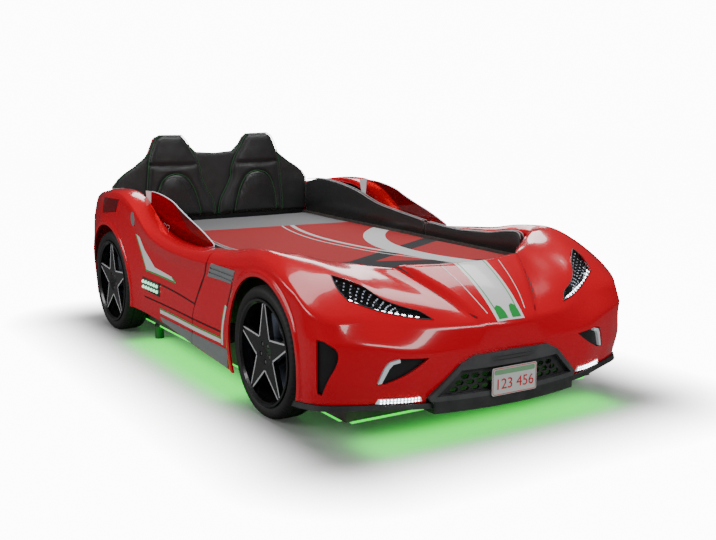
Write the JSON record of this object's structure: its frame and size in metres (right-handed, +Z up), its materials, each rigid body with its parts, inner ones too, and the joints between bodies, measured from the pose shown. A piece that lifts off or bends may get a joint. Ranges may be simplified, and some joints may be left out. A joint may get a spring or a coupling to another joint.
{
  "type": "car bed",
  "caption": "Single bed for children built as a glossy red sports car, with two padded seat backs as its headboard, padded sides, tinted side windows and fixed wheels",
  "frame": {"origin": "on the floor, half way along the body and on its plane of symmetry", "axes": "+Z up, -Y out of the car's nose, +Y out of its tail, +X to the right of the picture (the bed seen from its nose)"},
  "size_m": [1.2274, 2.2375, 0.809],
  "materials": {
    "dark_board": "melamine-faced board, charcoal",
    "red_body": "high gloss red, moulded",
    "slat_wood": "bent beech slat, clear lacquer",
    "dark_plastic": "satin charcoal, moulded",
    "black_plastic": "satin black, moulded",
    "steel": "zinc plated",
    "foam_cover": "knitted mattress cover",
    "coverlet_cloth": "printed quilted cotton, dusty red with grey and white",
    "black_leather": "faux leather, fine grain, satin",
    "red_acrylic": "tinted acrylic sheet, polished edges",
    "white_plastic": "white, glossy",
    "clear_lens": "clear polycarbonate",
    "white_light": "light diffuser, cool white",
    "red_lens": "tinted polycarbonate",
    "silver_plastic": "silver grey lacquer",
    "tyre_rubber": "moulded tread, satin sidewall",
    "rim_metal": "dark lacquer with bright machined edges",
    "brake_steel": "turned, grey",
    "green_light": "light diffuser, green"
  },
  "bodies": {
    "bed": {"base_slats": "slat_wood", "board_bolts": "steel", "body_supports": "dark_board", "brake_calipers": "brake_steel", "brake_discs": "brake_steel", "centre_beam": "dark_board", "centre_legs": "dark_board", "charge_caps": "silver_plastic", "control_unit": "black_plastic", "daylight_strips": "white_light", "fender_inlets": "dark_plastic", "fog_intakes": "dark_plastic", "foot_board": "dark_board", "front_light_bars": "white_light", "glide_feet": "dark_plastic", "grille_mesh": "black_plastic", "grille_surround": "dark_plastic", "headboard_board": "red_body", "headboard_pads": "black_leather", "headlamp_leds": "white_light", "headlamp_lenses": "clear_lens", "headlamp_trays": "dark_plastic", "mattress_ledges": "dark_board", "nose_shell": "red_body", "number_plate": "white_plastic", "power_inlet": "black_plastic", "rim_front_left": "rim_metal", "rim_front_right": "rim_metal", "rim_rear_left": "rim_metal", "rim_rear_right": "rim_metal", "seat_inserts": "black_leather", "seat_left": "black_leather", "seat_right": "black_leather", "side_board_left": "dark_board", "side_board_right": "dark_board", "side_light_panels": "dark_plastic", "side_pad_front_left": "black_leather", "side_pad_front_right": "black_leather", "side_pad_rear_left": "black_leather", "side_pad_rear_right": "black_leather", "side_shell_left": "red_body", "side_shell_right": "red_body", "side_vents": "silver_plastic", "sill_strips": "silver_plastic", "splitter": "dark_plastic", "tail_lamps": "red_lens", "tail_shell": "red_body", "tyre_front_left": "tyre_rubber", "tyre_front_right": "tyre_rubber", "tyre_rear_left": "tyre_rubber", "tyre_rear_right": "tyre_rubber", "underglow_strips": "green_light", "wheel_bolts": "steel", "window_left": "red_acrylic", "window_posts": "white_plastic", "window_right": "red_acrylic", "window_screws": "steel"},
    "mattress_set": {"mattress": "foam_cover", "coverlet": "coverlet_cloth"},
    "switch": {"power_switch": "black_plastic"}
  },
  "joints": [
    {"name": "mattress_lift", "type": "hinge", "parent": "bed", "child": "mattress_set", "pos_m": [0, -0.916, 0.42], "axis": [1, 0, 0], "range_deg": [0, 7]},
    {"name": "power_rocker", "type": "hinge", "parent": "bed", "child": "switch", "pos_m": [-0.427, 0.688, 0.115], "axis": [0, 0, 1], "range_deg": [0, 24]}
  ]
}
